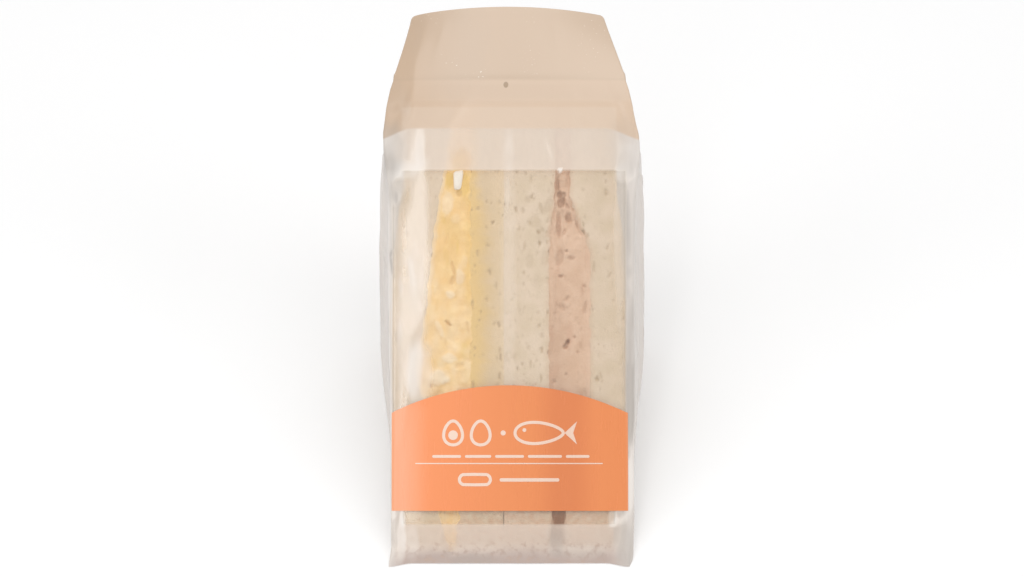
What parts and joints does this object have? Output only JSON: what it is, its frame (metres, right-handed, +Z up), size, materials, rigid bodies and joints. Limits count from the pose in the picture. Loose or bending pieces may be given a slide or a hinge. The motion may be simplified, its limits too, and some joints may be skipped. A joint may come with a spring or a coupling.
{
  "type": "egg and tuna sandwich",
  "caption": "Crustless white-bread sandwiches with egg salad and tuna salad, cut corner to corner and sealed side by side in a film pack with a clear front and a plain orange label.",
  "frame": {"origin": "middle of the bounding box on the surface that the pack stands on", "axes": "+Z up, -Y to the front where the cut faces look forward and up at 45 degrees, +X to the viewer's right across the layers"},
  "size_m": [0.0858, 0.1322, 0.1203],
  "materials": {
    "printed_film": "thin film, milky and beige print round a clear front",
    "orange_print": "plain orange print on film",
    "white_bread": "soft white crumb with fine pores",
    "egg_salad": "moist mashed egg with pieces of white",
    "tuna_salad": "moist flaked tuna paste"
  },
  "bodies": {
    "root": {"film_bag": "printed_film", "front_label": "orange_print", "bread_left_outer": "white_bread", "egg_salad": "egg_salad", "bread_left_inner": "white_bread", "bread_right_inner": "white_bread", "tuna_salad": "tuna_salad", "bread_right_outer": "white_bread"}
  },
  "joints": []
}
